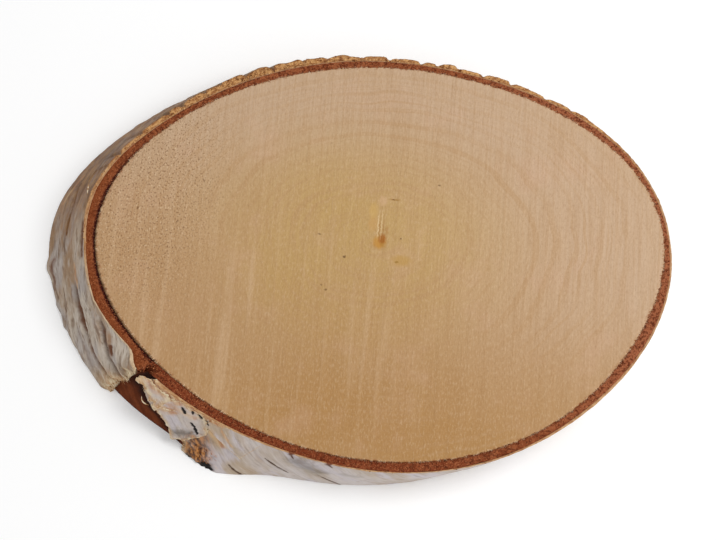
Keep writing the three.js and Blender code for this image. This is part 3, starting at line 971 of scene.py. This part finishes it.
def makeSheet(name, shape):
    control = np.array(shape["points"], float)
    step = 0.2
    flat = control[..., :2] * (mmPerDegree, mmPerDepth)
    long = np.linalg.norm(np.diff(flat, axis=0), axis=-1).sum(0).max()
    wide = np.linalg.norm(np.diff(flat, axis=1), axis=-1).sum(1).max()
    rows, columns = max(8, int(long / step)), max(8, int(wide / step))
    u, v = np.linspace(0, 1, rows)[:, None], np.linspace(0, 1, columns)[None, :]
    seed = shape["seed"]

    def pulledIn(where, width, side, reach):  # how far a side is torn away
        wave = 0.55 + 0.35 * roughness2d(where * reach * 0.7, side, seed)
        wave = wave + 0.25 * roughness2d(where * reach * 2.2, side, seed + 7)
        return width * np.clip(wave, 0, 1.3)

    start, end, left, right = shape["ragged"]
    u2 = between(pulledIn(v, start, 1, wide) / long, 1 - pulledIn(v, end, 2, wide) / long, u)
    v2 = between(pulledIn(u, left, 3, long) / wide, 1 - pulledIn(u, right, 4, long) / wide, v)
    wu, iu = gridWeights(u2, control.shape[0])
    wv, iv = gridWeights(v2, control.shape[1])
    values = sum(wu[..., m, None] * wv[..., n, None] * control[iu[..., m], iv[..., n]]
                 for m in range(4) for n in range(4))
    angle, depth, lift = values[..., 0], values[..., 1], values[..., 2]
    fromEdge = np.minimum(np.minimum(u, 1 - u) * long, np.minimum(v, 1 - v) * wide)
    curlHigh, curlReach = shape["curl"]  # the free edge rolls up
    lift = lift + curlHigh * np.exp(-v * wide / curlReach) * (0.4 + 0.6 * np.exp(-u * long / 6))
    surface = barkOutside(angle, np.clip(depth, 0, sliceDepth)) + lift
    surface = surface + 0.12 * roughness2d(angle * 1.1, depth * 1.4, seed + 1)
    surface = surface + 0.07 * roughness2d(angle * 3.2, depth * 3.6, seed + 2)
    surface = surface - 0.5 * marked("slits", angle, depth)
    thickness = shape["thick"] * (0.35 + 0.65 * ease(fromEdge, 0, 0.7))

    def bothSides(front, back):  # over the sheet and back under it
        return np.concatenate([front, back[:, ::-1]], 1)

    radius = bothSides(surface, surface - thickness)
    depth = np.clip(bothSides(depth, depth), 0.03, sliceDepth)
    angle, fromEdge = bothSides(angle, angle), bothSides(fromEdge, fromEdge)
    count = radius.shape[1]
    faces = gridFaces(rows, count, False, True)
    for base in (0, (rows - 1) * count):
        faces += [(base + k, base + k + 1, base + count - 2 - k, base + count - 1 - k)
                  for k in range(columns - 1)]
    made = buildMesh(name, place(angle, radius, depth), faces)
    faceOut(made)
    nothing, under = np.zeros_like(radius), np.zeros_like(radius)
    under[:, columns:] = 1
    torn = np.exp(-((fromEdge / shape["tornWidth"]) ** 2)) * (1 - 0.5 * under)
    keepBark(made, angle, radius, depth, {"cut": nothing, "under": under, "torn": torn, "shaded": nothing})
    made.data.materials.append(barkFinish)
    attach(made, "root")
    return made


def faceOut(made):
    shell = bmesh.new()
    shell.from_mesh(made.data)
    bmesh.ops.recalc_face_normals(shell, faces=shell.faces)
    if shell.calc_volume(signed=True) < 0:
        bmesh.ops.reverse_faces(shell, faces=shell.faces)
    shell.to_mesh(made.data)
    shell.free()


for sheetName, sheetShape in tornSheets.items():
    makeSheet(sheetName, sheetShape)
print("torn sheets made")

# Fibres and grains are scattered over hidden strips of faces that carry an aim and a share
def newTree(name, inputs):
    tree = bpy.data.node_groups.new(name, "GeometryNodeTree")
    tree.interface.new_socket("Geometry", in_out="INPUT", socket_type="NodeSocketGeometry")
    for label, kind in inputs.items():
        tree.interface.new_socket(label, in_out="INPUT", socket_type="NodeSocket" + kind)
    tree.interface.new_socket("Geometry", in_out="OUTPUT", socket_type="NodeSocketGeometry")
    return tree, put(tree, "NodeGroupInput").outputs, put(tree, "NodeGroupOutput")


def named(tree, name, kind):
    return put(tree, "GeometryNodeInputNamedAttribute", {"Name": name}, data_type=kind).outputs["Attribute"]


def scatterTree(name, kind, settings):
    inputs = {"Density": "Float", "Seed": "Int", "Smallest": "Vector", "Largest": "Vector", "Tilt": "Float",
              "Roughness": "Float", "Material": "Material"}
    tree, given, result = newTree(name, inputs)
    seed, tilt = given["Seed"], given["Tilt"]

    def chance(low, high):
        inputs = {"Min": low, "Max": high, "Seed": seed}
        return put(tree, "FunctionNodeRandomValue", inputs, data_type="FLOAT_VECTOR").outputs[0]

    density = times(tree, named(tree, "share", "FLOAT"), given["Density"])
    inputs = {"Mesh": given["Geometry"], "Density": density, "Seed": seed}
    points = put(tree, "GeometryNodeDistributePointsOnFaces", inputs).outputs["Points"]
    back = times(tree, tilt, -1.0)
    spin = chance(joined(tree, back, back, -3.14), joined(tree, tilt, tilt, 3.14))
    inputs = {"Vector": named(tree, "aim", "FLOAT_VECTOR")}
    aimed = put(tree, "FunctionNodeAlignRotationToVector", inputs, axis="Z").outputs[0]
    spun = put(tree, "FunctionNodeEulerToRotation", {0: spin}).outputs[0]
    turned = put(tree, "FunctionNodeRotateRotation", {0: aimed, 1: spun}, rotation_space="LOCAL").outputs[0]
    inputs = {"Points": points, "Instance": put(tree, kind, settings).outputs["Mesh"], "Rotation": turned,
              "Scale": chance(given["Smallest"], given["Largest"])}
    whole = put(tree, "GeometryNodeInstanceOnPoints", inputs).outputs[0]
    whole = put(tree, "GeometryNodeRealizeInstances", {0: whole}).outputs[0]
    inputs = {"Geometry": whole, "Offset": wander(tree, 3500.0, 1.0, given["Roughness"])}
    whole = put(tree, "GeometryNodeSetPosition", inputs).outputs[0]
    inputs = {"Geometry": whole, "Material": given["Material"]}
    tree.links.new(put(tree, "GeometryNodeSetMaterial", inputs).outputs[0], result.inputs[0])
    return tree


def strip(angle, radius, depth, aim, share=1.0):  # a grid of faces that carries what is scattered
    angle, radius, depth, share = np.broadcast_arrays(angle, radius, depth, share)
    faces = [[a, d, c, b] for a, b, c, d in gridFaces(*angle.shape)]
    made = buildMesh("strip", place(angle, radius, depth), faces)
    keep(made, "aim", np.stack(np.broadcast_arrays(*aim, angle)[:3], -1).reshape(-1, 3))
    keep(made, "share", share.ravel())
    return made


def scatter(name, host, tree, settings):
    modifier = host.modifiers.new("scatter", "NODES")
    modifier.node_group = tree
    for socket in tree.interface.items_tree:
        if socket.in_out == "INPUT" and socket.name in settings:
            modifier[socket.identifier] = settings[socket.name]
    mesh = bpy.data.meshes.new_from_object(host.evaluated_get(bpy.context.evaluated_depsgraph_get()))
    mesh.name = name
    bpy.data.objects.remove(host)
    made = addObject(name, mesh)
    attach(made, "root")
    print(name, "made,", len(mesh.polygons), "faces")
    return made


def crumbMaterial(name, dark, middle, pale, scale):
    material, tree, bsdf = newMaterial(name)
    spread = noise(tree, objectPlace(tree), scale, 1.0)
    colour = paint(tree, twoTone(tree, (spread, 0.38, 0.5), dark, middle), [((spread, 0.52, 0.62), pale)])
    wire(tree, bsdf, {"Base Color": colour, "Roughness": 0.85, "Specular IOR Level": 0.12})
    return material


cone = {"Vertices": 5, "Side Segments": 2, "Radius Top": 0.05, "Radius Bottom": 1.0, "Depth": 1.0}
fibreTree = scatterTree("scatterFibres", "GeometryNodeMeshCone", cone)
grainTree = scatterTree("scatterGrains", "GeometryNodeMeshIcoSphere", {"Radius": 1.0, "Subdivisions": 1})
scattered = {  # sizes are in metres: across, across, along
    "rimFibres": {
        "Density": 1.2e7, "Seed": 5, "Tilt": 0.24, "Roughness": 0.0001,
        "Smallest": (0.00005, 0.00005, 0.0005), "Largest": (0.00012, 0.0001, 0.0012),
        "Material": crumbMaterial("paleFibre", (158, 92, 54), (198, 156, 116), (222, 190, 156), 800.0),
    },
    "ringGrains": {
        "Density": 2.6e6, "Seed": 6, "Tilt": 0.3, "Roughness": 0.00015,
        "Smallest": (0.0001, 0.0001, 0.00008), "Largest": (0.00026, 0.00024, 0.0002),
        "Material": crumbMaterial("redGrain", (84, 30, 12), (142, 72, 38), (190, 122, 80), 1500.0),
    },
    "barkCrumbs": {
        "Density": 2.4e6, "Seed": 7, "Tilt": 0.5, "Roughness": 0.0004,
        "Smallest": (0.00014, 0.00012, 0.0001), "Largest": (0.0006, 0.00036, 0.0003),
        "Material": crumbMaterial("corkGrain", (120, 70, 34), (184, 130, 78), (216, 170, 114), 700.0),
    },
    "tornFibres": {
        "Density": 3.0e6, "Seed": 8, "Tilt": 0.5, "Roughness": 0.0003,
        "Smallest": (0.0001, 0.00005, 0.0005), "Largest": (0.0003, 0.0001, 0.0016),
        "Material": crumbMaterial("orangeFibre", (88, 46, 18), (168, 100, 44), (206, 150, 92), 900.0),
    },
    "barkShreds": {
        "Density": 1.5e6, "Seed": 9, "Tilt": 0.35, "Roughness": 0.0005,
        "Smallest": (0.00012, 0.00006, 0.0008), "Largest": (0.0004, 0.00012, 0.0024),
        "Material": crumbMaterial("creamFibre", (166, 118, 74), (206, 180, 142), (228, 212, 184), 900.0),
    },
}

# Loose strands of bark: points of (angle, depth, lift off the bark)
strands = {
    "leftCurl": [(168.8, 1.3, 0.2), (167.8, 0.8, 0.9), (166.6, 0.9, 1.2), (165.9, 1.7, 1.0),
                 (165.9, 2.6, 0.2)],
    "gapShard": [(225.4, 5.4, 1.5), (226.3, 5.7, 1.7), (227.3, 6.2, 1.4), (228.2, 6.6, 0.7)],
    "flapFibre": [(229.8, 4.9, 1.2), (230.5, 4.5, 1.6), (231.4, 3.8, 1.5), (232.0, 3.2, 1.0)],
}
strandSize = {"Radius": 0.00022, "Flatness": 0.5}


def strandTree():
    inputs = {"Radius": "Float", "Flatness": "Float", "Material": "Material"}
    tree, given, result = newTree("strandAlongPath", inputs)
    path = put(tree, "GeometryNodeMeshToCurve", {"Mesh": given["Geometry"]}).outputs[0]
    path = put(tree, "GeometryNodeCurveSplineType", {"Curve": path}, spline_type="CATMULL_ROM").outputs[0]
    path = put(tree, "GeometryNodeResampleCurve", {"Curve": path, "Count": 26}, mode="COUNT").outputs[0]
    along = put(tree, "GeometryNodeSplineParameter").outputs["Factor"]
    swell = calc(tree, "SINE", calc(tree, "ADD", times(tree, along, 2.6), 0.27))  # thin at both ends
    width = times(tree, swell, given["Radius"])
    path = put(tree, "GeometryNodeSetCurveRadius", {"Curve": path, "Radius": width}).outputs[0]
    ring = put(tree, "GeometryNodeCurvePrimitiveCircle", {"Resolution": 10, "Radius": 1.0}).outputs["Curve"]
    flat = joined(tree, 1.0, given["Flatness"], 1.0)
    ring = put(tree, "GeometryNodeTransform", {"Geometry": ring, "Scale": flat}).outputs[0]
    body = put(tree, "GeometryNodeCurveToMesh", {"Curve": path, "Profile Curve": ring, "Fill Caps": True})
    if "Scale" in body.inputs:  # newer versions take the radius here
        wire(tree, body, {"Scale": width})
    body = put(tree, "GeometryNodeRealizeInstances", {0: body.outputs[0]}).outputs[0]
    inputs = {"Geometry": body, "Material": given["Material"]}
    tree.links.new(put(tree, "GeometryNodeSetMaterial", inputs).outputs[0], result.inputs[0])
    return tree


def makeStrands():
    tree = strandTree()
    settings = dict(strandSize, Material=bpy.data.materials["creamFibre"])
    for name, rows in strands.items():
        angle, depth, lift = np.array(rows, float).T
        points = place(angle, barkOutside(angle, depth) + lift, depth)
        mesh = bpy.data.meshes.new(name + "Path")
        mesh.from_pydata(points.tolist(), [(k, k + 1) for k in range(len(points) - 1)], [])
        made = scatter(name, addObject(name + "Path", mesh), tree, settings)
        made.data.polygons.foreach_set("use_smooth", np.ones(len(made.data.polygons), bool))


def makeScattered():
    around = np.linspace(0, 360, 721)[:, None]
    # frayed fibres over the wood's rim
    outward = (cosine(around), sine(around), 0.02 + 0 * around)
    share = 1 - 0.3 * hump(turn(woodShape["swell"][0], around), 40)
    host = strip(around, woodRim(around) + np.array([[-0.75, -0.4, -0.05]]), 0.06, outward, share)
    scatter("rimFibres", host, fibreTree, scattered["rimFibres"])
    # grains on the ring's sawn face
    across = np.linspace(0.1, 0.94, 5)[None, :]
    radius = between(innerBarkInside(around), innerBarkOutside(around, 0), across)
    host = strip(around, radius, 0.2, (0, 0, 1))
    scatter("ringGrains", host, grainTree, scattered["ringGrains"])
    # crumbs on the bark's sawn edge, most along the top and the upper left
    around = np.linspace(256, 572, 640)[:, None]
    radius = between(barkInside(around, 0), barkOutside(around, 0), across)
    share = 0.12 + 0.88 * hump(turn(105, around % 360), 62) * (1 - ease(around, 520, 535))
    host = strip(around, radius, 0.16, (0, 0, 1), share)
    scatter("barkCrumbs", host, grainTree, scattered["barkCrumbs"])
    # fibres on the rough patch under the flap, along the trunk's turn
    angle, depth = np.linspace(242.6, 247.6, 24)[:, None], np.linspace(11.5, 16.0, 20)[None, :]
    aim = (-sine(angle) + 0 * depth, cosine(angle) + 0 * depth, -0.2 + 0 * angle * depth)
    host = strip(angle, barkOutside(angle, depth) - 0.05, depth, aim, marked("rough", angle, depth))
    scatter("tornFibres", host, fibreTree, scattered["tornFibres"])
    # shreds along the frayed top edge, and at both torn ends, where they point into the gap
    angle, depth = np.linspace(222.5, 243, 40)[:, None], np.array([[0.25, 0.6, 1.1]])
    aim = (-0.5 * cosine(angle + 50), -0.5 * sine(angle + 50), -0.1 + 0 * angle)
    hosts = {"Top": strip(angle, barkOutside(angle, depth) + 0.25, depth + 0.2, aim)}
    for side, ahead, low in (("Left", 1, 0.9), ("Right", -1, 4.0)):
        depth = np.linspace(low, 16, 60)[:, None]
        angle = edgeAngle(side.lower() + "Edge", depth) - ahead * np.array([[0.9, 0.5, 0.1]])
        aim = (-ahead * sine(angle), ahead * cosine(angle), 0 * angle)
        hosts[side] = strip(angle, barkOutside(angle, depth) - 0.1, depth, aim)
    for side, host in hosts.items():
        scatter("barkShreds" + side, host, fibreTree, scattered["barkShreds"])


makeScattered()
makeStrands()

# Floor, light and camera
studio = {
    "azimuth": 4.3,
    "elevation": 69,
    "distance": 0.9,
    "lens": 117.65,
    "target": (-9.06, -6.9, 17),  # from the middle of the sawn face
    "world": 0.6,
    "key": 8.8,
    "keyPlace": (0.8, 0.1, 0.95),
    "keySize": (0.7, 0.6),
    "floor": (0.93, 0.93, 0.93, 1),
    "floorGlow": 0.12,
}


def makeStudio():
    white = (1, 1, 1, 1)
    bpy.ops.mesh.primitive_plane_add(size=6, location=(0, 0, -0.0002))
    floor = bpy.context.object
    floor.name = "floor"
    material, tree, bsdf = newMaterial("paleFloor")
    wire(tree, bsdf, {"Base Color": studio["floor"], "Roughness": 0.9, "Emission Color": white,
                      "Emission Strength": studio["floorGlow"]})
    floor.data.materials.append(material)
    world = bpy.data.worlds.new("studio")
    bpy.context.scene.world = world
    world.use_nodes = True
    wire(world.node_tree, world.node_tree.nodes["Background"], {"Color": white, "Strength": studio["world"]})
    lamp = bpy.data.lights.new("softbox", "AREA")
    lamp.shape = "RECTANGLE"
    lamp.size, lamp.size_y = studio["keySize"]
    lamp.energy = studio["key"]
    box = addObject("softbox", lamp)
    box.location = Vector(studio["keyPlace"])
    box.rotation_euler = (-box.location).to_track_quat("-Z", "Y").to_euler()
    bpy.context.scene.view_settings.view_transform = "Standard"


def makeCamera():
    a, e = math.radians(studio["azimuth"]), math.radians(studio["elevation"])
    back = Vector((math.sin(a) * math.cos(e), -math.cos(a) * math.cos(e), math.sin(e)))
    x, y, z = studio["target"]
    target = Vector(((x + shift[0]) * mm, (y + shift[1]) * mm, z * mm))
    data = bpy.data.cameras.new("camera")
    data.lens, data.sensor_width = studio["lens"], 36
    camera = addObject("camera", data)
    camera.location = target + back * studio["distance"]
    camera.rotation_euler = (-back).to_track_quat("-Z", "Y").to_euler()
    bpy.context.scene.camera = camera


makeStudio()
makeCamera()
print("studio set")
